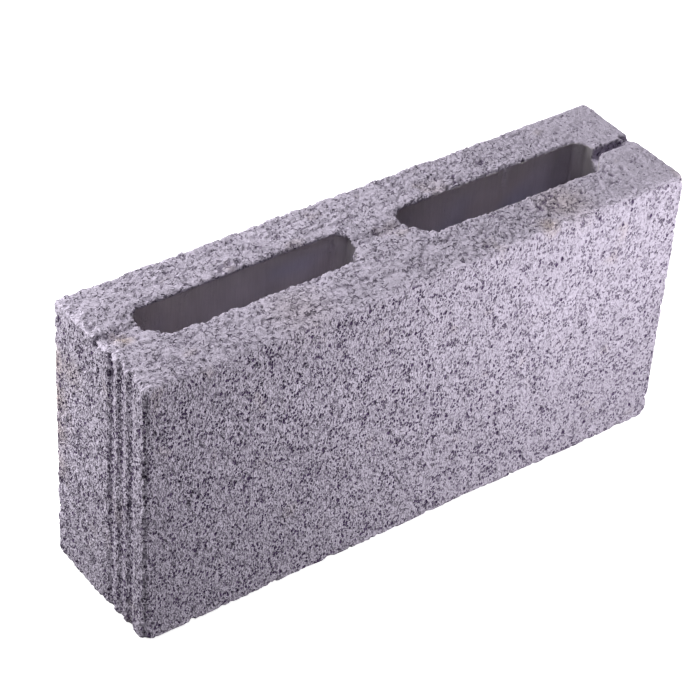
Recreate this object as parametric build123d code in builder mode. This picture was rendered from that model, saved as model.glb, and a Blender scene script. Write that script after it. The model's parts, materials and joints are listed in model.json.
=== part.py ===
"""Concrete partition block with two core slots, moulded as one piece.

The block stands on its lower bed face, the way it left the mould. X runs along its length, Y through
its thickness and Z up. The origin is the middle of the lower bed face. All sizes are in millimetres.
"""

import os

from build123d import *

# Body
block_length = 390.0
block_thickness = 95.0
block_height = 190.0
upright_edge_radius = 2.5
top_edge_radius = 2.0
bottom_edge_radius = 2.0

# Walls at the top face, where the mould's cores are thickest
end_wall_thickness = 28.5
web_thickness = 35.0

# The cores and their bar did not stand quite in the middle of the mould
core_shift_left = 1.0
core_shift_back = 1.7

# Core slots, which fill the length that the walls leave. Each end has a long cut corner on its front
# side and a short one on its back side.
slot_width = 31.0
slot_front_cut_length = 12.0
slot_front_cut_width = 13.0
slot_back_cut = 6.0
slot_corner_radius = 3.0
slot_rim_radius = 2.0
slot_draft_angle = 0.6

# Marks of the bar that carried the cores, over their middle line
bar_mark_width = 12.0
bar_mark_floor_width = 7.0
bar_mark_depth = 3.0

# The same bar's mark in the right end wall, where no mix fell back over it
bar_slot_width = 7.0
bar_slot_end_radius = 3.0
bar_slot_depth = 9.0
bar_slot_sill = 7.0
end_notch_width = 10.5
end_notch_depth = 4.5
end_notch_wall_slope = 1.0

# Upright grooves in the left end face, counted from the front face
groove_count = 3
groove_mouth = 6.5
groove_floor = 3.5
groove_depth = 2.0
groove_pitch = 10.1
first_groove_from_front = 15.3

# Lower front corners, chipped by handling
chipped_corner_reach = 6.0

# Sockets that fallen stones left, as middle of the stone along, across and up, and its radius: at the
# left slot's end beside the web, and where the bar mark meets the left end
lost_stones = [
    (-20.0, -3.0, 191.0, 4.5),
    (-198.0, 3.0, 186.0, 5.5),
]

# How far a cut starts outside the face that it opens
overcut = 5.0

end_x = block_length / 2
front_y = -block_thickness / 2
slot_length = end_x - end_wall_thickness - web_thickness / 2
slot_spacing = slot_length + web_thickness
left_slot_x = -core_shift_left - slot_spacing / 2
right_slot_x = -core_shift_left + slot_spacing / 2

# A bar mark stops inside a slot, past the slot's narrow end
left_mark_stop = right_slot_x - slot_length / 2 + slot_front_cut_length
right_mark_start = right_slot_x + slot_length / 2 - slot_front_cut_length


with BuildPart() as block:
    # The pressed body, with the worn edges of a rough mix
    with BuildSketch():
        RectangleRounded(block_length, block_thickness, upright_edge_radius)
    extrude(amount=block_height)
    fillet(block.edges().group_by(Axis.Z)[-1], radius=top_edge_radius)
    fillet(block.edges().group_by(Axis.Z)[0], radius=bottom_edge_radius)

    # Two slots right through, each a little narrower at the bottom
    with BuildSketch(Plane.XY.offset(block_height)):
        with Locations((left_slot_x, core_shift_back), (right_slot_x, core_shift_back)):
            Polygon(
                (-slot_length / 2, -slot_width / 2 + slot_front_cut_width),
                (-slot_length / 2 + slot_front_cut_length, -slot_width / 2),
                (slot_length / 2 - slot_front_cut_length, -slot_width / 2),
                (slot_length / 2, -slot_width / 2 + slot_front_cut_width),
                (slot_length / 2, slot_width / 2 - slot_back_cut),
                (slot_length / 2 - slot_back_cut, slot_width / 2),
                (-slot_length / 2 + slot_back_cut, slot_width / 2),
                (-slot_length / 2, slot_width / 2 - slot_back_cut),
                align=None,
            )
        fillet(vertices(), radius=slot_corner_radius)
    extrude(amount=-block_height - overcut, taper=slot_draft_angle, mode=Mode.SUBTRACT)
    top_face = block.faces().filter_by(Axis.Z).sort_by(Axis.Z)[-1]
    fillet(top_face.inner_wires().edges(), radius=slot_rim_radius)

    # Shallow bar mark across the left end wall and the web, up to the right slot
    with BuildSketch(Plane.YZ.offset(-end_x - overcut)):
        with Locations((core_shift_back, block_height)):
            Polygon(
                (-bar_mark_width / 2, overcut),
                (-bar_mark_width / 2, 0),
                (-bar_mark_floor_width / 2, -bar_mark_depth),
                (bar_mark_floor_width / 2, -bar_mark_depth),
                (bar_mark_width / 2, 0),
                (bar_mark_width / 2, overcut),
                align=None,
            )
    extrude(amount=overcut + end_x + left_mark_stop, mode=Mode.SUBTRACT)

    # Deep bar slot in the right end wall, up to a sill, and the notch over the sill, which is steep at
    # its back and rises gently to the front
    with BuildSketch(Plane.XY.offset(block_height - bar_slot_depth)):
        with Locations((right_mark_start, core_shift_back)):
            Rectangle(
                end_x - bar_slot_sill - right_mark_start,
                bar_slot_width,
                align=(Align.MIN, Align.CENTER),
            )
        fillet(vertices().group_by(Axis.X)[-1], radius=bar_slot_end_radius)
    extrude(amount=bar_slot_depth + overcut, mode=Mode.SUBTRACT)
    with BuildSketch(Plane.YZ.offset(end_x + overcut)):
        with Locations((core_shift_back, block_height)):
            Polygon(
                (end_notch_width / 2, overcut),
                (-end_notch_width / 2, overcut),
                (-end_notch_width / 2, 0),
                (end_notch_width / 2 - end_notch_wall_slope, -end_notch_depth),
                (end_notch_width / 2, 0),
                align=None,
            )
    extrude(amount=-bar_slot_sill - overcut, mode=Mode.SUBTRACT)

    # Shallow upright grooves over the full height of the left end face
    first_groove_y = front_y + first_groove_from_front
    with BuildSketch():
        with Locations(*[(-end_x, first_groove_y + n * groove_pitch) for n in range(groove_count)]):
            Polygon(
                (-overcut, -groove_mouth / 2),
                (0, -groove_mouth / 2),
                (groove_depth, -groove_floor / 2),
                (groove_depth, groove_floor / 2),
                (0, groove_mouth / 2),
                (-overcut, groove_mouth / 2),
                align=None,
            )
    extrude(amount=block_height, mode=Mode.SUBTRACT)

    # Damage
    for side in (-1, 1):
        cut = Plane((side * end_x, front_y + chipped_corner_reach, 0), z_dir=(side, -1, -1))
        split(bisect_by=cut, keep=Keep.BOTTOM)
    for x, y, z, radius in lost_stones:
        with Locations(Location((x, y, z), (90, 0, 0))):
            Sphere(radius, mode=Mode.SUBTRACT)

block.part.label = "block"
os.makedirs("parts", exist_ok=True)
export_step(block.part, "parts/block.step")
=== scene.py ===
import itertools
import json
import math
from types import SimpleNamespace

import bpy
import numpy as np
from mathutils import Matrix, Vector


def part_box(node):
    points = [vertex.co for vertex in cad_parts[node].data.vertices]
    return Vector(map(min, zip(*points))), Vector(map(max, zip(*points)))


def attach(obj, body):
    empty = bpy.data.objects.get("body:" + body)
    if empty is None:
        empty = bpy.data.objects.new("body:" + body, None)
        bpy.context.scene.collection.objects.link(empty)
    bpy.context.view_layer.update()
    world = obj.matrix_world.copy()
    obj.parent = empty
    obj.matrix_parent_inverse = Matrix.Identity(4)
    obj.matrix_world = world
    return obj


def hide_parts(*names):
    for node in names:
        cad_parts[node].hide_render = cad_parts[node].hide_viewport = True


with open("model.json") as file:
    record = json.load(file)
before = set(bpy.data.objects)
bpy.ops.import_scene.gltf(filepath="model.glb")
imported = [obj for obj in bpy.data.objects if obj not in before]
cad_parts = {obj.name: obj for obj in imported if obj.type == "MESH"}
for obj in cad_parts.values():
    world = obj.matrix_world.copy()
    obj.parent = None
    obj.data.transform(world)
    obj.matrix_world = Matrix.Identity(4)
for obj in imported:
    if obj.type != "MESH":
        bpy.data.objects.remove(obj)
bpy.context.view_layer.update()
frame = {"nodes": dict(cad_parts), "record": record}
block_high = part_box("block")[1]

# A millimetre, in the frame's metres
MM = 0.001
PIECE_NAME = "block_concrete"

# Camera, fitted to the block's corners in the 700 by 700 photograph, with its distances in metres
VIEW_AZIMUTH = math.radians(-38.8333)
VIEW_ELEVATION = math.radians(38.3741)
VIEW_ROLL = math.radians(4.2332)
VIEW_DISTANCE = 1.565683
VIEW_SHIFT_RIGHT = -0.0089648
VIEW_SHIFT_UP = 0.0810748
LENS_MM = 127.41
SENSOR_MM = 36.0
CLIP_START = 0.01
CLIP_END = 50.0

# The floor lies this far below the block, so that their faces don't share a plane
FLOOR_GAP = 0.0001
FLOOR_REACH = 4.0

# Floor and surroundings: what lights the block, and what the camera sees instead
FLOOR_LIT = (0.08, 0.07, 0.09, 1)
FLOOR_SEEN = (0.9, 0.9, 0.9, 1)
FLOOR_GLOW = 0.75
FILL = (1.0, 0.86, 1.10, 1)
FILL_STRENGTH = 0.06
WHITE = (1, 1, 1, 1)

# Soft lamps, in metres and watts: name, place, aim, width, height, power, colour
LAMPS = (
    ("key", (0.245, -0.55, 0.165), (0.03, 0.0, 0.1), 0.2, 0.05, 4.2, (1.0, 0.99, 0.99)),
    ("left", (-0.58, 0.27, 0.17), (-0.19, 0.0, 0.10), 0.16, 0.08, 2.9, (1.0, 1.0, 0.98)),
    ("right", (0.62, 0.10, 0.13), (0.19, 0.0, 0.1), 0.16, 0.08, 1.8, (1.0, 1.0, 0.99)),
    ("back", (-0.24, 0.64, 0.60), (-0.08, 0.0, 0.19), 0.5, 0.12, 3.7, (1.0, 1.0, 0.99)),
    ("top", (-0.19, 0.18, 0.94), (-0.08, 0.02, 0.1), 0.5, 0.34, 4.7, (1.0, 1.0, 0.99)),
)

# All sizes and places on the block, from here on, are in millimetres. A warp is the size of its waves,
# how far it moves a point, and its seed. A swell is its height, the size of its waves and its seed.

# Mesh, and how freely the thinning may merge triangles, in tenths: near 0 last, 1 first
VOXEL = 0.8
TRIANGLE_BUDGET = 197000
SPARE_TOP = 0.1
SPARE_FRONT = 0.3
SPARE_BACK = 0.6
SPARE_PLAIN = 1.0
SPARE_STEPS = 10
SPARE_STRENGTH = 0.002

# The parts of the surface, told apart by how squarely the normal points a way, by how far up the block
# the top face may begin, as shares of its height, and by the distance from the left end
TOP_FACING = (0.1, 0.5)
TOP_FROM_HEIGHT = (0.8, 0.9)
BED_FACING = (0.5, 0.9)
END_FACING = (0.3, 0.7)
BACK_FACING = (0.3, 0.6)
END_REACH = 8.0
END_FADE = (3.0, 8.0)
GROOVE_STARTS = (0.3, 1.6)
SLIGHT = 0.001

# How far the slots reach past the record's clear boxes, along and across
SLOT_TIP_REACH = 15.0
SLOT_SIDE_REACH = 4.2
SLOT_FADE = 1.0
SLOT_END_STARTS = 8.0

# The slots' end walls, which broke as the cores were drawn: reach past the clear boxes, and depth below
# the top face at which the break begins and is full
TIP_STARTS = 7.0
TIP_FADE = 2.5
TIP_BACK_Y = 4.0
TIP_BACK_FADE = 5.0
BREAK_BEGINS = 34.0
BREAK_IS_FULL = 14.0

# Layers of crumbs: cell, step between neighbours, tilt, seed of the crumbs, seed of the open seams
TOP_CRUMBS = ((7.0, 0.75, 0.04, 11, 91), (3.7, 0.75, 0.08, 12, 92), (2.3, 0.35, 0.12, 13, 93))
END_CRUMBS = ((4.2, 0.3, 0.05, 101, 105), (2.4, 0.35, 0.16, 102, 106))
CREVICE_WIDTH = 0.15

# Where the seams between crumbs are open: size of the patches, limits of the noise, depth of the seams
TOP_SEAMS = (6.0, (-0.2, 0.5), 1.4)
END_SEAMS = (5.0, (-0.1, 0.5), 0.9)

# Top face, where the mix was only tamped
TOP_WARPS = ((3.5, 0.9, 61), (1.3, 0.3, 64))
TOP_SWELLS = ((0.25, 9.0, 71), (0.3, 30.0, 72))
TOP_DEEPEST = -3.2
TOP_LEVEL = 0.35
CALM_FROM_X = 90.0
CALM_TO_X = 185.0
CALM_SHARE = 0.6

# Loose crumbs in the bar mark, and how far below the top face they begin
LOOSE_CRUMBS = 1.3
LOOSE_DEPTH = (0.3, 2.5)
LOOSE_SHARE = 0.6
LOOSE_SWELL = (0.8, 4.0, 75)

# The middle of the top face stands a little proud at the left and lies a little low at the right
CROWN_Y = (26.0, 46.0)
CROWN_X = (-30.0, 90.0)
CROWN_LEFT = 1.2
CROWN_RIGHT = -0.4

# The left end face, torn a little as the mould was drawn off it, and calmer between its grooves
END_STRETCH = (1.0, 1.0, 0.6)
END_WARP = (2.0, 0.6, 67)
END_LEVEL = 0.1
RIBBED_FROM_Y = (-42.0, -38.0)
RIBBED_TO_Y = (-9.0, -5.0)
RIBBED_CALM = 0.65

# Moulded faces, pressed flat against steel
SIDE_STRETCH = (1.0, 1.0, 0.8)
SIDE_WARP = (2.6, 0.8, 64)
SIDE_SWELLS = ((0.14, 3.0, 73), (0.25, 7.0, 74))
SIDE_DEEPEST = -1.7
SIDE_LEVEL = 0.45

# Open pores: cell, smallest and largest radius, share of the cells, seed. A pore shows where its middle
# lies within PORE_CUT of its radius from the surface.
TOP_PORES = (5.6, 0.9, 1.8, 0.35, 21)
SIDE_PORES = ((6.6, 0.9, 1.9, 0.45, 31), (3.6, 0.6, 1.2, 0.5, 32))
PORE_CUT = 0.6

# The block's own unevenness, and the streaks that the cores drew on the slots' walls
BLOCK_SWELL = (0.35, 42.0, 51)
STREAK_STRETCH = (1.0, 1.0, 0.12)
STREAK_HEIGHT = 0.04
STREAKS = (1.6, 53)

# Slabs and tamped patches on the top face: middle x and y, half length, half width, heading, height
SLABS = (
    (-168.0, -4.5, 8.0, 3.6, 8.0, 1.1),
    (-177.5, -5.5, 5.0, 3.4, -6.0, 0.8),
    (-145.0, 26.0, 8.0, 3.0, 4.0, 0.7),
    (-180.0, 34.0, 6.5, 5.0, 20.0, 0.2),
    (-30.0, 21.0, 12.0, 3.6, 0.0, 0.2),
    (-21.0, -37.0, 8.0, 4.5, 12.0, 0.2),
    (-54.0, -31.0, 7.0, 3.5, -8.0, 0.2),
    (12.0, -27.0, 6.0, 4.0, 30.0, 0.2),
)
SLAB_OUTLINE = (0.16, 2.5, 81)
SLAB_EDGE = (0.90, 1.04)
SLAB_SWELL = (0.12, 4.0, 82)
SLAB_TILT = 0.2

# Only a slab that stands this proud has a crevice round it: its depth, and where it starts and ends
PROUD_SLAB = 0.5
SLAB_CREVICE = 1.6
SLAB_CREVICE_STARTS = (0.98, 1.08)
SLAB_CREVICE_ENDS = (1.16, 1.36)

# Lost grains and crumbled spots: middle x, y and z, half sizes, depth
HOLES = (
    (-192.0, 13.0, 190.0, 2.6, 1.8, 4.0, 2.4),
    (-192.0, 6.0, 190.0, 1.8, 1.6, 4.0, 2.2),
    (-184.0, 2.0, 188.0, 1.8, 1.6, 4.0, 2.2),
    (-195.0, 1.0, 170.0, 4.0, 1.6, 5.0, 2.2),
    (-195.0, -11.5, 176.0, 4.0, 1.8, 6.0, 2.2),
    (-101.5, 20.4, 190.5, 1.5, 2.8, 4.0, 4.0),
    (-98.5, 22.8, 190.5, 2.8, 1.5, 4.0, 4.0),
    (-94.0, 22.4, 190.5, 3.0, 1.4, 4.0, 3.8),
    (-89.0, 20.8, 190.5, 2.8, 1.4, 4.0, 3.6),
    (-195.0, 7.0, 22.0, 4.0, 2.4, 5.0, 1.8),
    (171.0, -47.5, 181.0, 2.4, 3.0, 2.0, 1.6),
    (140.0, -47.5, 186.0, 2.0, 3.0, 1.6, 1.4),
    (158.0, -47.5, 52.0, 1.6, 3.0, 3.4, 1.8),
    (162.0, -47.5, 42.0, 1.8, 3.0, 2.4, 1.8),
    (-91.0, -47.5, 170.0, 2.0, 3.0, 2.8, 1.6),
    (195.0, -47.5, 14.0, 4.0, 4.0, 2.4, 2.0),
)

# Worn corners of the lower bed: x, y, reach, depth
WORN_CORNERS = ((-195.0, -47.5, 9.0, 0.8), (195.0, -47.5, 9.0, 0.8), (-195.0, 47.5, 7.0, 1.0))

# The top front edge, worn more and more towards the right
WORN_EDGE_REACH = 7.0
WORN_EDGE_DEPTH = 1.4
WORN_EDGE_X = (0.0, 120.0)

# Small chips along the lower and upright edges
CHIP_REACH = 4.5
CHIP_DEPTH = 1.9
CHIP_SWELLS = ((1.0, 2.3, 57), (0.3, 8.0, 58))
UPRIGHT_CHIPS_NARROWER = 1.3

# The repeatable random numbers: their hash, and which of a cell's numbers is used for what. A place and
# a lean take three in a row.
HASH_AXES = (73856093, 19349663, 83492791)
HASH_SEED = 7919
HASH_CHANNEL = 104729
HASH_START = 12345
HASH_MIX = ((16, 0x7FEB352D), (15, 0x846CA68B))
HASH_LAST_SHIFT = 16
LARGEST_WORD = 0xFFFFFFFF
PLACE = 0
RADIUS = 3
CHANCE = 4
LEAN = 5


def smoothstep(low, high, value):
    """0 below low, 1 above high, and a smooth ramp between."""
    t = np.clip((value - low) / (high - low), 0.0, 1.0)
    return t * t * (3.0 - 2.0 * t)


def lattice_random(cells, seed, channel):
    """One repeatable random number from 0 to 1 for each whole-number cell."""
    x, y, z = (cells[:, axis].astype(np.uint32) * np.uint32(HASH_AXES[axis]) for axis in range(3))
    mixed = x ^ y ^ z
    mixed ^= np.uint32((seed * HASH_SEED + channel * HASH_CHANNEL + HASH_START) & LARGEST_WORD)
    for shift, factor in HASH_MIX:
        mixed ^= mixed >> np.uint32(shift)
        mixed *= np.uint32(factor)
    mixed ^= mixed >> np.uint32(HASH_LAST_SHIFT)
    return mixed.astype(np.float32) / np.float32(LARGEST_WORD)


def random_vector(cells, seed, channel):
    """Three repeatable random numbers from 0 to 1 for each cell."""
    return np.stack([lattice_random(cells, seed, channel + axis) for axis in range(3)], axis=1)


def value_noise(points, cell, seed):
    """Smooth noise from -1 to 1 whose features are about one cell wide."""
    scaled = points / cell
    corner = np.floor(scaled)
    part = (scaled - corner).astype(np.float32)
    part = part * part * (3.0 - 2.0 * part)
    corner = corner.astype(np.int64)
    total = np.zeros(len(points), dtype=np.float32)
    for step in itertools.product((0, 1), repeat=3):
        weight = np.ones(len(points), dtype=np.float32)
        for axis in range(3):
            weight *= part[:, axis] if step[axis] else 1.0 - part[:, axis]
        total += weight * lattice_random(corner + np.array(step), seed, PLACE)
    return total * 2.0 - 1.0


def swell(points, *swells):
    """Smooth noises of the given heights, added up."""
    return sum(height * value_noise(points, cell, seed) for height, cell, seed in swells)


def warped(points, cell, amount, seed):
    """The points moved by a smooth random field, which makes round things irregular."""
    shift = np.stack([value_noise(points, cell, seed + axis) for axis in range(3)], axis=1)
    return points + amount * shift


def crumb_layer(points, cell, step, tilt, seed):
    """Flat crumbs that fill the space side by side, each at its own height and tilt.

    Each crumb owns the points nearest to its middle, one middle a cell of a jittered lattice. Gives the
    crumbs' height, and 1 in the seams between them.
    """
    base = np.floor(points / cell).astype(np.int64)
    nearest = np.full(len(points), np.inf, dtype=np.float32)
    second = np.full(len(points), np.inf, dtype=np.float32)
    height = np.zeros(len(points), dtype=np.float32)
    for shift in itertools.product((-1, 0, 1), repeat=3):
        cells = base + np.array(shift)
        middle = (cells + random_vector(cells, seed, PLACE)) * cell
        offset = (points - middle).astype(np.float32)
        apart = np.sqrt(np.einsum("ij,ij->i", offset, offset))
        lean = random_vector(cells, seed, LEAN) - 0.5
        level = step * (lattice_random(cells, seed, CHANCE) - 0.5)
        level += 2.0 * tilt * np.einsum("ij,ij->i", offset, lean)
        closer = apart < nearest
        second = np.where(closer, nearest, np.minimum(second, apart))
        height = np.where(closer, level, height)
        nearest = np.where(closer, apart, nearest)
    seam = 1.0 - smoothstep(0.0, CREVICE_WIDTH * cell, second - nearest)
    return height, seam


def crumb_relief(points, place, layers, patch_size, patch_limits, seam_depth):
    """Height of each layer of crumbs, with its seams open in patches."""
    for cell, step, tilt, seed, seam_seed in layers:
        height, seam = crumb_layer(place, cell, step, tilt, seed)
        open_here = smoothstep(*patch_limits, value_noise(points, patch_size, seam_seed))
        yield height - seam_depth * seam * open_here


def pore_depth(points, normals, cell, small, large, share, seed):
    """Depth of the open pores: round hollows that the surface cuts, in a share of the cells."""
    deepest = np.zeros(len(points), dtype=np.float32)
    for radius, along, reach, chance in scattered_balls(points, normals, cell, small, large, seed):
        depth = np.sqrt(np.maximum(reach, 0.0)) - along
        counts = (reach > 0.0) & (chance < share) & (np.abs(along) < PORE_CUT * radius)
        counts &= depth > deepest
        deepest[counts] = depth[counts]
    return deepest


def scattered_balls(points, normals, cell, small, large, seed):
    """Balls of a jittered lattice near each point: radius, height, what is left of it across, chance."""
    base = np.floor(points / cell).astype(np.int64)
    for step in itertools.product((-1, 0, 1), repeat=3):
        cells = base + np.array(step)
        middle = (cells + random_vector(cells, seed, PLACE)) * cell
        radius = small + (large - small) * lattice_random(cells, seed, RADIUS)
        offset = (middle - points).astype(np.float32)
        along = np.einsum("ij,ij->i", offset, normals)
        across = np.einsum("ij,ij->i", offset, offset) - along * along
        yield radius, along, radius * radius - across, lattice_random(cells, seed, CHANCE)


def slabs(points):
    """For each slab, 1 where it lies and 0 elsewhere, the height of its top, and its crevice's depth."""
    for x, y, half_length, half_width, heading, height in SLABS:
        turn = math.radians(heading)
        across_x = points[:, 0] - x
        across_y = points[:, 1] - y
        along = (across_x * math.cos(turn) + across_y * math.sin(turn)) / half_length
        across = (across_y * math.cos(turn) - across_x * math.sin(turn)) / half_width
        edge = np.sqrt(along * along + across * across) + swell(points, SLAB_OUTLINE)
        inside = 1.0 - smoothstep(*SLAB_EDGE, edge)
        level = height + swell(points, SLAB_SWELL) - SLAB_TILT * along
        crevice = smoothstep(*SLAB_CREVICE_STARTS, edge) * (1.0 - smoothstep(*SLAB_CREVICE_ENDS, edge))
        yield inside, level, SLAB_CREVICE * crevice * (height > PROUD_SLAB)


def top_relief(points, normals):
    """Skin of the tamped mix: packed grains pressed level, open pores, slabs and tamped patches."""
    x, y, z = points.T
    place = points
    for warp in TOP_WARPS:
        place = warped(place, *warp)
    relief = swell(points, *TOP_SWELLS)
    for layer in crumb_relief(points, place, TOP_CRUMBS, *TOP_SEAMS):
        relief += layer
    relief -= pore_depth(place, normals, *TOP_PORES)
    relief = np.maximum(relief, TOP_DEEPEST) + TOP_LEVEL
    relief *= 1.0 - CALM_SHARE * smoothstep(CALM_FROM_X, CALM_TO_X, x)
    in_mark = smoothstep(*LOOSE_DEPTH, block_high[2] / MM - z) * (x < CALM_FROM_X)
    relief += LOOSE_CRUMBS * in_mark * (LOOSE_SHARE + swell(points, LOOSE_SWELL))
    inner = 1.0 - smoothstep(*CROWN_Y, np.abs(y))
    relief += inner * (CROWN_LEFT + (CROWN_RIGHT - CROWN_LEFT) * smoothstep(*CROWN_X, x))
    for inside, level, crevice in slabs(points):
        relief = relief + inside * (level - relief) - crevice
    return relief


def end_relief(points):
    """Crumbly skin of the end face with the grooves."""
    place = warped(points * np.array(END_STRETCH), *END_WARP)
    relief = np.zeros(len(points), dtype=np.float32)
    for layer in crumb_relief(points, place, END_CRUMBS, *END_SEAMS):
        relief += layer
    return relief + END_LEVEL


def moulded_relief(points, normals):
    """Skin that was pressed flat against steel: level, with open pores."""
    place = warped(points * np.array(SIDE_STRETCH), *SIDE_WARP)
    pores = np.maximum.reduce([pore_depth(place, normals, *layer) for layer in SIDE_PORES])
    return np.maximum(-pores, SIDE_DEEPEST) + (swell(points, *SIDE_SWELLS) + SIDE_LEVEL)


def edge_chips(points):
    """Depth of the small chips along the lower and upright edges."""
    past_x = np.abs(points[:, 0]) - block_high[0] / MM
    past_y = np.abs(points[:, 1]) - block_high[1] / MM
    to_lower = np.hypot(points[:, 2], np.maximum(past_x, past_y))
    to_upright = UPRIGHT_CHIPS_NARROWER * np.hypot(past_x, past_y)
    near = 1.0 - smoothstep(0.0, CHIP_REACH, np.minimum(to_lower, to_upright))
    return CHIP_DEPTH * near * np.maximum(swell(points, *CHIP_SWELLS), 0.0)


def worn_edge(points):
    """Depth of the wear along the top front edge."""
    x, y, z = points.T
    _, half_thickness, height = block_high / MM
    from_edge = np.hypot(y + half_thickness, z - height)
    worn = (1.0 - smoothstep(0.0, WORN_EDGE_REACH, from_edge)) * smoothstep(*WORN_EDGE_X, x)
    return WORN_EDGE_DEPTH * worn


def past_clear_box(points, axis):
    """For each slot, how far the points lie outside the record's clear box along one axis."""
    for opening in frame["record"]["physics"]["openings"]:
        low, high = np.array(opening["box_m"]) / MM
        yield np.maximum(low[axis] - points[:, axis], points[:, axis] - high[axis])


def slot_zone(points):
    """1 inside the core slots in plan, 0 elsewhere."""
    zone = np.zeros(len(points), dtype=np.float32)
    for along, across in zip(past_clear_box(points, 0), past_clear_box(points, 1)):
        inside = 1.0 - smoothstep(SLOT_TIP_REACH - SLOT_FADE, SLOT_TIP_REACH, along)
        inside *= 1.0 - smoothstep(SLOT_SIDE_REACH - SLOT_FADE, SLOT_SIDE_REACH, across)
        zone = np.maximum(zone, inside)
    return zone


def tip_zone(points):
    """1 at the end walls of the slots, 0 along their straight walls."""
    past = np.minimum(*past_clear_box(points, 0))
    front = 1.0 - smoothstep(TIP_BACK_Y - TIP_BACK_FADE, TIP_BACK_Y, points[:, 1])
    return smoothstep(TIP_STARTS, TIP_STARTS + TIP_FADE, past) * front


def zones(points, normals):
    """How far each point belongs to each part of the surface, from 0 to 1."""
    x, _, z = points.T
    half_length, _, height = block_high / MM
    from_end = x + half_length
    top_starts, top_full = (share * height for share in TOP_FROM_HEIGHT)
    top = smoothstep(*TOP_FACING, normals[:, 2]) * smoothstep(top_starts, top_full, z)
    bed = smoothstep(*BED_FACING, -normals[:, 2])
    slot = slot_zone(points) * (1.0 - top) * (1.0 - bed)
    moulded = (1.0 - top) * (1.0 - bed) * (1.0 - slot)
    left_end = smoothstep(*END_FACING, -normals[:, 0]) * (from_end < END_REACH)
    return SimpleNamespace(
        top=top,
        bed=bed,
        slot=slot,
        moulded=moulded,
        groove=left_end * smoothstep(*GROOVE_STARTS, from_end),
        near_end=(1.0 - smoothstep(*END_FADE, from_end)) * moulded,
        broken=slot * smoothstep(height - BREAK_BEGINS, height - BREAK_IS_FULL, z) * tip_zone(points),
        turned_away=smoothstep(*BACK_FACING, np.maximum(normals[:, 0], normals[:, 1])),
    )


def add_skin(relief, share, skin, *fields):
    """Adds one kind of skin to the relief where it has more than a slight share."""
    part = share > SLIGHT
    relief[part] += share[part] * skin(*(field[part] for field in fields))


def block_relief(points, normals, zone):
    """How far each point stands proud of the CAD solid, apart from the worn top edge."""
    relief = np.zeros(len(points), dtype=np.float32)
    add_skin(relief, zone.top, top_relief, points, normals)
    add_skin(relief, zone.moulded, moulded_relief, points, normals)
    add_skin(relief, zone.near_end, end_relief, points)
    ribbed = smoothstep(*RIBBED_FROM_Y, points[:, 1]) * (1.0 - smoothstep(*RIBBED_TO_Y, points[:, 1]))
    relief *= 1.0 - RIBBED_CALM * ribbed * zone.near_end
    add_skin(relief, zone.broken, top_relief, points, normals)
    relief += swell(points, BLOCK_SWELL) * (1.0 - zone.bed) * (1.0 - zone.slot)
    relief += STREAK_HEIGHT * zone.slot * value_noise(points * np.array(STREAK_STRETCH), *STREAKS)
    for x, y, z, size_x, size_y, size_z, depth in HOLES:
        apart = (points - np.array([x, y, z])) / np.array([size_x, size_y, size_z])
        near = np.einsum("ij,ij->i", apart, apart)
        relief -= depth * np.maximum(1.0 - near, 0.0)
    for x, y, reach, depth in WORN_CORNERS:
        apart = np.linalg.norm(points - np.array([x, y, 0.0]), axis=1)
        relief -= depth * (1.0 - smoothstep(0.0, reach, apart))
    return relief - edge_chips(points)


def applied_copy(source, kind, **settings):
    """A new object: the source's mesh with one modifier applied."""
    work = bpy.data.objects.new(PIECE_NAME, source.data.copy())
    bpy.context.scene.collection.objects.link(work)
    modifier = work.modifiers.new(kind.title(), kind)
    for key, value in settings.items():
        setattr(modifier, key, value)
    evaluated = work.evaluated_get(bpy.context.evaluated_depsgraph_get())
    mesh = bpy.data.meshes.new_from_object(evaluated)
    mesh.name = PIECE_NAME
    old = work.data
    work.modifiers.clear()
    work.data = mesh
    bpy.data.meshes.remove(old)
    return work


def triangle_count(mesh):
    return len(mesh.loops) - 2 * len(mesh.polygons)


def read_vectors(collection, key):
    """The vectors of a mesh's vertices or normals, one a row."""
    buffer = np.empty(len(collection) * 3, dtype=np.float32)
    collection.foreach_get(key, buffer)
    return buffer.reshape(-1, 3)


def store(mesh, name, values):
    """Keeps one number a vertex in a named attribute for the material."""
    attribute = mesh.attributes.new(name, "FLOAT", "POINT")
    attribute.data.foreach_set("value", values.astype(np.float32))


def thinned(piece, spare):
    """The piece within its budget of triangles, merged first where the spare number is high."""
    group = piece.vertex_groups.new(name="spare")
    for step in range(SPARE_STEPS + 1):
        members = np.nonzero(np.rint(spare * SPARE_STEPS) == step)[0]
        if len(members):
            group.add(members.tolist(), max(step, 1) / SPARE_STEPS, "REPLACE")
    thin = applied_copy(
        piece,
        "DECIMATE",
        decimate_type="COLLAPSE",
        ratio=TRIANGLE_BUDGET / triangle_count(piece.data),
        vertex_group="spare",
        vertex_group_factor=SPARE_STRENGTH,
    )
    bpy.data.objects.remove(piece)
    thin.name = PIECE_NAME
    thin.vertex_groups.clear()
    return thin


def shade(mesh):
    """Smooth shading, but flat on the slots' walls, whose long thin triangles would streak."""
    wall = np.empty(len(mesh.vertices), dtype=np.float32)
    mesh.attributes["slot_wall"].data.foreach_get("value", wall)
    for polygon in mesh.polygons:
        polygon.use_smooth = min(wall[corner] for corner in polygon.vertices) < 0.5


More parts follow.
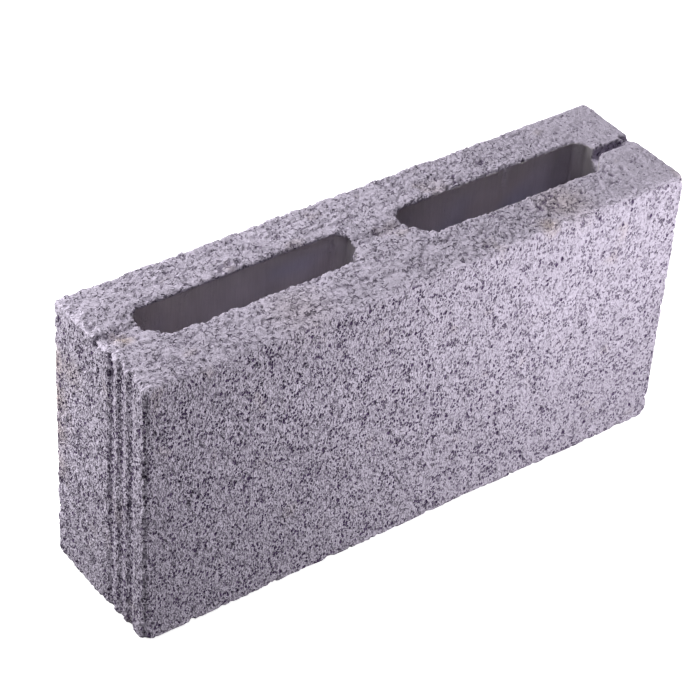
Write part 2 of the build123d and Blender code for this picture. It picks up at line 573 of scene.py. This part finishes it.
def make_block():
    """The block with its true relief, made from the CAD solid."""
    source = frame["nodes"]["block"]
    piece = applied_copy(source, "REMESH", mode="VOXEL", voxel_size=VOXEL * MM, adaptivity=0.0)
    mesh = piece.data
    points = read_vectors(mesh.vertices, "co") / MM
    normals = read_vectors(mesh.vertex_normals, "vector")
    zone = zones(points, normals)
    relief = block_relief(points, normals, zone)
    moved = points + normals * (relief - worn_edge(points))[:, None]
    # The lower bed stays level, so that no grain sinks into the floor
    moved[:, 2] = np.maximum(moved[:, 2], 0.0)
    mesh.vertices.foreach_set("co", (moved * MM).astype(np.float32).ravel())

    rough = np.maximum(zone.top, zone.broken)
    past = np.minimum(*past_clear_box(points, 0))
    store(mesh, "relief", relief)
    store(mesh, "top_face", rough)
    store(mesh, "slot_wall", zone.slot * (1.0 - zone.broken))
    store(mesh, "slot_end", smoothstep(SLOT_END_STARTS, SLOT_TIP_REACH, past))
    store(mesh, "slab", zone.top * np.maximum.reduce([inside for inside, _, _ in slabs(points)]))
    store(mesh, "groove", zone.groove)
    mesh.update()

    spare = SPARE_FRONT - SPARE_PLAIN + (SPARE_BACK - SPARE_FRONT) * zone.turned_away
    spare = SPARE_PLAIN + spare * zone.moulded
    spare = spare + (SPARE_TOP - spare) * rough
    thin = thinned(piece, spare)
    shade(thin.data)
    return thin


def camera():
    """The photograph's viewpoint."""
    back = Vector((
        math.sin(VIEW_AZIMUTH) * math.cos(VIEW_ELEVATION),
        -math.cos(VIEW_AZIMUTH) * math.cos(VIEW_ELEVATION),
        math.sin(VIEW_ELEVATION),
    ))
    level = back.cross(Vector((0, 0, 1))).normalized() * -1.0
    upright = back.cross(level)
    right = math.cos(VIEW_ROLL) * level + math.sin(VIEW_ROLL) * upright
    up = -math.sin(VIEW_ROLL) * level + math.cos(VIEW_ROLL) * upright
    place = right * VIEW_SHIFT_RIGHT + up * VIEW_SHIFT_UP + back * VIEW_DISTANCE
    data = bpy.data.cameras.new("camera")
    data.sensor_width = SENSOR_MM
    data.lens = LENS_MM
    data.clip_start = CLIP_START
    data.clip_end = CLIP_END
    lens = bpy.data.objects.new("camera", data)
    turn = Matrix((right, up, back)).transposed()
    lens.matrix_world = Matrix.Translation(place) @ turn.to_4x4()
    bpy.context.scene.collection.objects.link(lens)
    bpy.context.scene.camera = lens


def soft_lamp(name, place, aim, width, height, power, colour):
    """A rectangular soft box at one place, turned to face another."""
    data = bpy.data.lights.new(name, "AREA")
    data.shape = "RECTANGLE"
    data.size = width
    data.size_y = height
    data.energy = power
    data.color = colour
    lamp = bpy.data.objects.new(name, data)
    lamp.location = place
    lamp.rotation_euler = (Vector(aim) - Vector(place)).to_track_quat("-Z", "Y").to_euler()
    bpy.context.scene.collection.objects.link(lamp)


class Nodes:
    """Short ways to add and join the shader nodes of one material or world."""

    def __init__(self, holder):
        holder.use_nodes = True
        self.tree = holder.node_tree
        self.tree.nodes.clear()

    def feed(self, socket, value):
        if isinstance(value, bpy.types.NodeSocket):
            self.tree.links.new(value, socket)
        else:
            socket.default_value = value

    def node(self, kind, inputs, **settings):
        """A new node with its settings, and its inputs fed by name or number."""
        node = self.tree.nodes.new("ShaderNode" + kind)
        for name, value in settings.items():
            setattr(node, name, value)
        for name, value in inputs.items():
            self.feed(node.inputs[name], value)
        return node

    def attribute(self, name):
        return self.node("Attribute", {}, attribute_name=name).outputs["Fac"]

    def axis(self, vector, name):
        """One part of a vector."""
        return self.node("SeparateXYZ", {0: vector}).outputs[name]

    def vector_math(self, operation, *values):
        return self.node("VectorMath", dict(enumerate(values)), operation=operation)

    def scaled(self, vector, scale):
        return self.vector_math("MULTIPLY", vector, scale).outputs[0]

    def apart(self, vector, place):
        return self.vector_math("DISTANCE", vector, place).outputs["Value"]

    def math(self, operation, first, second, clamp=False):
        return self.node("Math", {0: first, 1: second}, operation=operation, use_clamp=clamp).outputs[0]

    def add(self, first, second):
        return self.math("ADD", first, second)

    def times(self, first, second):
        return self.math("MULTIPLY", first, second)

    def larger(self, first, second):
        return self.math("MAXIMUM", first, second)

    def rest(self, value):
        """What is left of 1."""
        return self.math("SUBTRACT", 1.0, value)

    def weighted(self, values, weights):
        """The values, each times its weight, added up."""
        total = None
        for value, weight in zip(values, weights):
            part = self.times(value, weight)
            total = part if total is None else self.add(total, part)
        return total

    def noise(self, vector, scale, detail, roughness=0.5):
        sizes = {"Scale": scale, "Detail": detail, "Roughness": roughness}
        return self.node("TexNoise", {"Vector": vector, **sizes}).outputs["Fac"]

    def shaken(self, vector, scale, amount):
        """The places moved by a smooth random field, which makes round things irregular."""
        noise = self.node("TexNoise", {"Vector": vector, "Scale": scale, "Detail": 1.0})
        return self.vector_math("MULTIPLY_ADD", noise.outputs["Color"], (amount,) * 3, vector).outputs[0]

    def cells(self, vector, size, feature="F1"):
        """Packed cells of about the given size in millimetres."""
        return self.node("TexVoronoi", {"Vector": vector, "Scale": 1.0 / size}, feature=feature).outputs

    def edges(self, vector, size):
        """Distance to the nearest edge between packed cells, as a share of a cell."""
        return self.cells(vector, size, "DISTANCE_TO_EDGE")["Distance"]

    def crumbs(self, vector, size):
        """Packed crumbs: a height that tilts each its own way, and a random number for each."""
        cells = self.cells(vector, size)
        offset = self.vector_math("SUBTRACT", vector, cells["Position"]).outputs[0]
        lean = self.vector_math("SUBTRACT", cells["Color"], (0.5, 0.5, 0.5)).outputs[0]
        return self.vector_math("DOT_PRODUCT", offset, lean).outputs["Value"], self.red(cells["Color"])

    def dots(self, vector, size, smallest, largest, soft):
        """Round pits of mixed sizes, given as shares of a cell: 1 inside, 0 outside."""
        cells = self.cells(vector, size)
        radius = self.times(self.red(cells["Color"]), largest - smallest)
        inside = self.math("SUBTRACT", self.add(radius, smallest), cells["Distance"])
        return self.ramp(inside, -soft, soft)

    def blend(self, amount, first, second):
        return self.node("Mix", {"Factor": amount, 2: first, 3: second}).outputs[0]

    def ramp(self, value, low, high, to_low=0.0, to_high=1.0):
        limits = {"From Min": low, "From Max": high, "To Min": to_low, "To Max": to_high}
        node = self.node("MapRange", {"Value": value, **limits}, interpolation_type="SMOOTHSTEP")
        return node.outputs["Result"]

    def mix(self, amount, first, second, blend="MIX"):
        inputs = {"Factor": amount, 6: first, 7: second}
        return self.node("Mix", inputs, data_type="RGBA", blend_type=blend).outputs[2]

    def shaded(self, colour, value):
        """The colour times a number."""
        grey = self.node("CombineColor", {0: value, 1: value, 2: value}).outputs[0]
        return self.mix(1.0, colour, grey, "MULTIPLY")

    def red(self, colour):
        return self.node("SeparateColor", {0: colour}).outputs[0]

    def split_view(self, kind, lit, seen):
        """Ends the tree with a shader for all rays but the camera's, and one that the camera sees."""
        path = self.node("LightPath", {})
        choose = self.node("MixShader", {0: path.outputs["Is Camera Ray"], 1: lit, 2: seen})
        self.node(kind, {"Surface": choose.outputs[0]})


def stage():
    """Pale floor and white surroundings for the camera; other rays meet a dark floor and a faint fill."""
    mesh = bpy.data.meshes.new("floor")
    corners = ((-1, -1), (1, -1), (1, 1), (-1, 1))
    places = [(x * FLOOR_REACH, y * FLOOR_REACH, -FLOOR_GAP) for x, y in corners]
    mesh.from_pydata(places, [], [(0, 1, 2, 3)])
    floor = bpy.data.objects.new("floor", mesh)
    bpy.context.scene.collection.objects.link(floor)
    material = bpy.data.materials.new("floor")
    n = Nodes(material)
    lit = n.node("BsdfDiffuse", {"Color": FLOOR_LIT})
    pale = n.node("BsdfDiffuse", {"Color": FLOOR_SEEN})
    glow = n.node("Emission", {"Strength": FLOOR_GLOW})
    seen = n.node("AddShader", {0: pale.outputs[0], 1: glow.outputs[0]})
    n.split_view("OutputMaterial", lit.outputs[0], seen.outputs[0])
    mesh.materials.append(material)

    world = bpy.data.worlds.new("studio")
    bpy.context.scene.world = world
    n = Nodes(world)
    fill = n.node("Background", {"Color": FILL, "Strength": FILL_STRENGTH})
    white = n.node("Background", {"Color": WHITE})
    n.split_view("OutputWorld", fill.outputs[0], white.outputs[0])


# Colours of the concrete, of the painted shade in its pits, of its stains, and of the slots' walls
PASTE = (0.550, 0.503, 0.608, 1)
PIT_SHADE = (0.090, 0.060, 0.125, 1)
WARM = (0.52, 0.44, 0.43, 1)
SLOT_RIM = (0.48, 0.445, 0.46, 1)
SLOT_BROWN = (0.50, 0.455, 0.49, 1)
SLOT_BLUE = (0.465, 0.445, 0.55, 1)
ROUGHNESS = 0.95
SPECULAR = 0.2

# Earth-coloured stains: middle, reach and strength
STAINS = (
    ((-180.0, -2.0, 192.0), 9.0, 1.0),
    ((-193.0, 32.0, 152.0), 18.0, 0.4),
    ((92.0, -41.0, 191.0), 11.0, 0.8),
    ((114.0, -28.0, 192.0), 26.0, 0.5),
    ((-83.0, -32.0, 192.0), 30.0, 0.22),
    ((-195.0, 50.0, 150.0), 20.0, 0.8),
    ((-195.0, 50.0, 125.0), 20.0, 0.8),
    ((-195.0, 50.0, 100.0), 20.0, 0.7),
    ((-195.0, 50.0, 75.0), 20.0, 0.5),
)

# The material's patterns are made of noises, given as waves a millimetre, detail and, where it isn't
# 0.5, roughness, and of ramps, given as the limits of what they read and, where they aren't 0 and 1,
# what they give at those limits. A shake is the waves a millimetre and the millimetres moved.
STAIN_SHAKE = (0.25, 4.0)
STAIN_CLOUDS = (0.045, 2.0)
STAIN_CLOUD_LIMITS = (0.62, 0.74)
STAIN_CLOUD_STRENGTH = 0.30
CRACK_WIDTH = 0.45

# Moulded faces: sizes of the grains, sand and stones, and of the pits and holes as shares of a cell,
# with the softness of their rims
SIDE_FLATTENED = (1.0, 1.0, 0.75)
SIDE_SHAKES = ((0.5, 1.4), (1.3, 0.9))
SIDE_GRAIN_SIZE = 1.7
SIDE_SAND_SIZE = 1.1
SIDE_STONE_SIZE = 5.6
SIDE_PIT_CELL = 1.65
SIDE_PIT_SIZES = (0.20, 0.54, 0.10)
SIDE_HOLE_CELL = 4.4
SIDE_HOLE_SIZES = (0.05, 0.25, 0.05)

# The moulded faces are rougher to the left and low down, and more open in patches and in the grooves
# Where rougher and more open, there are more pits, and so more painted shade in them
SIDE_ROUGH_X = (-150.0, 150.0, 1.0, 0.0)
SIDE_ROUGH_Z = (20.0, 150.0, 0.30, 0.0)
SIDE_PATCHES = (0.12, 2.0)
SIDE_PATCH_LIMITS = (0.35, 0.61, 0.40, 1.05)
GROOVE_OPENER = 0.1
PITS_ADDED_BY_ROUGH = 0.36
PITS_ANYWHERE = 0.78

# Flat stones among the grains of the moulded faces, and the cracks between
FLAT_STONE_TONES = (0.78, 0.84)
FLAT_STONE_RIM = (0.05, 0.13)
SIDE_CRACK_PATCHES = (0.23, 1.0)
SIDE_CRACK_PATCH_LIMITS = (0.60, 0.68)
SIDE_CRACK_STARTS = 0.02
# Darkness of the painted shade in the pits and cracks, and how much of it flat stones lose
SIDE_PIT_SHADE = 0.92
SIDE_CRACK_SHADE = 0.5
FLAT_STONE_CALM = 0.6

# Weights in the moulded faces' height: openings, tilt of the grains, sand, flat stones. Then the share
# of the height that roughness adds, and the share that is there anyway.
SIDE_HEIGHTS = (-1.5, 0.8, 1.5, 0.30)
HEIGHT_ADDED_BY_ROUGH = 0.55
HEIGHT_ANYWHERE = 0.60

# Weights in the moulded faces' tone: stones, grains, sand
SIDE_TONES = (0.08, 0.12, 0.20)

# Tamped top face
TOP_SHAKE = (0.45, 1.6)
TOP_ROUGH_X = (CALM_FROM_X, CALM_TO_X, 1.0, 0.5)
TOP_GRAIN_SIZE = 3.0
TOP_CRUMB_SIZE = 1.4
TOP_SAND_SIZE = 1.0
TOP_PIT_CELL = 2.6
TOP_PIT_SIZES = (0.04, 0.27, 0.10)
TOP_CRACK_PATCHES = (0.30, 1.0)
TOP_CRACK_PATCH_LIMITS = (0.50, 0.64)
TOP_CRACK_STARTS = 0.01
TOP_CRACK_ROUGH = (0.5, 1.0)
# Darkness of the painted shade in the pits and cracks
TOP_PIT_SHADE = 0.7
TOP_CRACK_SHADE = 0.62

# Weights in the top face's height: openings, tilt of the grains, tilt of the crumbs, grains, sand. Then
# the weights in its tone: grains, crumbs.
TOP_HEIGHTS = (-0.8, 0.25, 0.55, 0.30, 0.6)
TOP_TONES = (0.10, 0.12)

# Slots' walls: streaks that the cores drew and clouds, their weights in the tone, and the streaks'
# height. A wall is rim-coloured near the top and cloudy brown and blue below.
WALL_FLATTENED = (0.9, 0.9, 0.06)
WALL_STREAKS = (1.0, 2.0, 0.6)
WALL_CLOUDS = (0.05, 2.0)
WALL_TONES = (0.30, 0.35)
WALL_STREAK_HEIGHT = 0.12
WALL_RIM_Z = (172.0, 188.0)
WALL_HUES = (0.018, 1.0)
WALL_HUE_LIMITS = (0.40, 0.60)
WALL_BRIGHTNESS = 0.76
# Painted shade at the slots' tips and right end, and faint painted light, a little more to the left
WALL_PAINTED_SHADE_AT_TIPS = (0.0, 1.0, 1.0, 0.72)
WALL_PAINTED_SHADE_AT_RIGHT_X = (134.0, 152.0, 1.0, 0.72)
WALL_PAINTED_LIGHT_ALONG_X = (-120.0, 140.0, 1.04, 1.02)

# Painted shade in deep relief, what is left of it on slabs, and how much of it the bar slot's floor loses
DEEP_RELIEF_SHADE = (-1.9, -0.6, 0.85, 0.0)
SLAB_CALM = 0.5
BAR_SLOT_X = (160.0, 168.0)
BAR_SLOT_Z = (186.0, 188.5, 0.75, 0.0)

# Tone of the whole block: broad clouds, fine grain, brightness, and painted shade that darkens it low
# down
BLOCK_CLOUDS = (0.03, 3.0, 0.6)
BLOCK_GRAIN = (1.4, 1.0)
BLOCK_TONE = 0.20
BLOCK_BRIGHTNESS = 0.68
LOW_SHADE_Z = (0.0, 170.0, 0.85, 1.0)


def moulded_pattern(n, mm, groove):
    """Where a face pressed against steel has painted shade in its pits, holes and cracks, how high it
    stands in millimetres, and its tone.
    """
    place = n.scaled(mm, SIDE_FLATTENED)
    for shake in SIDE_SHAKES:
        place = n.shaken(place, *shake)
    rough_left = n.ramp(n.axis(mm, "X"), *SIDE_ROUGH_X)
    rougher = n.math("ADD", rough_left, n.ramp(n.axis(mm, "Z"), *SIDE_ROUGH_Z), clamp=True)
    open_here = n.add(n.noise(mm, *SIDE_PATCHES), n.times(groove, GROOVE_OPENER))
    pit = n.dots(place, SIDE_PIT_CELL, *SIDE_PIT_SIZES)
    pit = n.times(pit, n.ramp(open_here, *SIDE_PATCH_LIMITS))
    pit = n.times(pit, n.add(n.times(rougher, PITS_ADDED_BY_ROUGH), PITS_ANYWHERE))
    hole = n.dots(place, SIDE_HOLE_CELL, *SIDE_HOLE_SIZES)
    edge = n.edges(place, SIDE_STONE_SIZE)
    stone_tone = n.red(n.cells(place, SIDE_STONE_SIZE)["Color"])
    sand = n.noise(place, 1.0 / SIDE_SAND_SIZE, 0.0)
    tilt, grain_tone = n.crumbs(place, SIDE_GRAIN_SIZE)

    flat_stone = n.times(n.ramp(stone_tone, *FLAT_STONE_TONES), n.ramp(edge, *FLAT_STONE_RIM))
    crack = n.ramp(edge, SIDE_CRACK_STARTS, CRACK_WIDTH / SIDE_STONE_SIZE, 1.0, 0.0)
    crack = n.times(crack, n.ramp(n.noise(place, *SIDE_CRACK_PATCHES), *SIDE_CRACK_PATCH_LIMITS))
    # Painted shade in the pits, holes and cracks, less on flat stones
    dark = n.larger(n.times(pit, SIDE_PIT_SHADE), n.larger(hole, n.times(crack, SIDE_CRACK_SHADE)))
    dark = n.times(dark, n.rest(n.times(flat_stone, FLAT_STONE_CALM)))

    opening = n.add(pit, n.add(hole, crack))
    height = n.weighted((opening, tilt, sand, flat_stone), SIDE_HEIGHTS)
    height = n.times(height, n.add(n.times(rougher, HEIGHT_ADDED_BY_ROUGH), HEIGHT_ANYWHERE))
    tone = n.weighted((stone_tone, grain_tone, n.math("SUBTRACT", sand, 0.5)), SIDE_TONES)
    return dark, height, tone


def tamped_pattern(n, mm):
    """The same three for the loose top face and the broken ends of the slots."""
    place = n.shaken(mm, *TOP_SHAKE)
    rough = n.ramp(n.axis(mm, "X"), *TOP_ROUGH_X)
    tilt, grain_tone = n.crumbs(place, TOP_GRAIN_SIZE)
    small_tilt, crumb_tone = n.crumbs(place, TOP_CRUMB_SIZE)
    sand = n.noise(place, 1.0 / TOP_SAND_SIZE, 0.0)
    pit = n.dots(place, TOP_PIT_CELL, *TOP_PIT_SIZES)
    edge = n.edges(place, TOP_GRAIN_SIZE)
    crack = n.ramp(edge, TOP_CRACK_STARTS, CRACK_WIDTH / TOP_GRAIN_SIZE, 1.0, 0.0)
    crack = n.times(crack, n.ramp(n.noise(place, *TOP_CRACK_PATCHES), *TOP_CRACK_PATCH_LIMITS))
    crack = n.times(crack, n.ramp(rough, *TOP_CRACK_ROUGH))
    # Painted shade in the pits and cracks
    dark = n.larger(n.times(pit, TOP_PIT_SHADE), n.times(crack, TOP_CRACK_SHADE))
    height = n.weighted((n.add(pit, crack), tilt, small_tilt, grain_tone, sand), TOP_HEIGHTS)
    tone = n.weighted((grain_tone, crumb_tone), TOP_TONES)
    return dark, n.times(height, rough), tone


def wall_pattern(n, mm):
    """Colour and height of the slots' walls, drawn smooth by the cores, with painted shade at the tips
    and the right end.
    """
    streak = n.noise(n.scaled(mm, WALL_FLATTENED), *WALL_STREAKS)
    tone = n.weighted((streak, n.noise(mm, *WALL_CLOUDS)), WALL_TONES)
    hue = n.ramp(n.noise(mm, *WALL_HUES), *WALL_HUE_LIMITS)
    colour = n.mix(n.ramp(n.axis(mm, "Z"), *WALL_RIM_Z), n.mix(hue, SLOT_BROWN, SLOT_BLUE), SLOT_RIM)
    colour = n.shaded(colour, n.add(tone, WALL_BRIGHTNESS))
    # Painted shade at the tips and the right end, and faint painted light along x
    colour = n.shaded(colour, n.ramp(n.attribute("slot_end"), *WALL_PAINTED_SHADE_AT_TIPS))
    colour = n.shaded(colour, n.ramp(n.axis(mm, "X"), *WALL_PAINTED_SHADE_AT_RIGHT_X))
    colour = n.shaded(colour, n.ramp(n.axis(mm, "X"), *WALL_PAINTED_LIGHT_ALONG_X))
    return colour, n.times(streak, WALL_STREAK_HEIGHT)


def stained(n, mm, colour):
    """The colour with faint warm clouds and the named earth stains."""
    stain = n.times(n.ramp(n.noise(mm, *STAIN_CLOUDS), *STAIN_CLOUD_LIMITS), STAIN_CLOUD_STRENGTH)
    ragged = n.shaken(mm, *STAIN_SHAKE)
    for middle, reach, strength in STAINS:
        stain = n.larger(stain, n.ramp(n.apart(ragged, middle), 0.0, reach, strength, 0.0))
    return n.mix(stain, colour, WARM)


def concrete():
    """Pressed concrete: pale lilac-grey grains with open pores between them, the shade in the pores
    painted dark.
    """
    material = bpy.data.materials.new("concrete")
    n = Nodes(material)
    mm = n.scaled(n.node("TexCoord", {}).outputs["Object"], (1.0 / MM,) * 3)
    top = n.attribute("top_face")
    slot_wall = n.attribute("slot_wall")
    not_slab = n.rest(n.times(n.attribute("slab"), SLAB_CALM))
    side_shade, side_height, side_tone = moulded_pattern(n, mm, n.attribute("groove"))
    top_shade, top_height, top_tone = tamped_pattern(n, mm)
    wall_colour, wall_height = wall_pattern(n, mm)

    # Painted shade: the pits and cracks of both patterns, and the deep hollows of the relief
    dark = n.larger(n.blend(top, side_shade, top_shade), n.ramp(n.attribute("relief"), *DEEP_RELIEF_SHADE))
    dark = n.times(dark, n.times(n.rest(slot_wall), not_slab))
    in_bar_slot = n.ramp(n.axis(mm, "X"), *BAR_SLOT_X, 0.0, top)
    dark = n.times(dark, n.rest(n.times(in_bar_slot, n.ramp(n.axis(mm, "Z"), *BAR_SLOT_Z))))
    tone = n.blend(top, side_tone, top_tone)
    for noise in (BLOCK_CLOUDS, BLOCK_GRAIN):
        tone = n.add(tone, n.times(n.noise(mm, *noise), BLOCK_TONE))
    colour = n.shaded(PASTE, n.add(tone, BLOCK_BRIGHTNESS))
    colour = stained(n, mm, colour)
    # Painted shade, darker towards the bottom
    colour = n.shaded(colour, n.ramp(n.axis(mm, "Z"), *LOW_SHADE_Z))
    # The painted shade moves the colour towards the shade colour of the pits
    colour = n.mix(dark, colour, PIT_SHADE)
    colour = n.mix(slot_wall, colour, wall_colour)

    height = n.blend(top, side_height, n.times(top_height, not_slab))
    height = n.blend(slot_wall, height, wall_height)
    bump = n.node("Bump", {"Distance": MM, "Strength": 1.0, "Height": height})
    finish = {"Roughness": ROUGHNESS, "Specular IOR Level": SPECULAR}
    shader = n.node("BsdfPrincipled", {"Base Color": colour, "Normal": bump.outputs[0], **finish})
    n.node("OutputMaterial", {"Surface": shader.outputs[0]})
    return material


bpy.context.scene.view_settings.view_transform = "Standard"
camera()
stage()
for lamp in LAMPS:
    soft_lamp(*lamp)

block = make_block()
block.data.materials.clear()
block.data.materials.append(concrete())
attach(block, "root")
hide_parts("block")
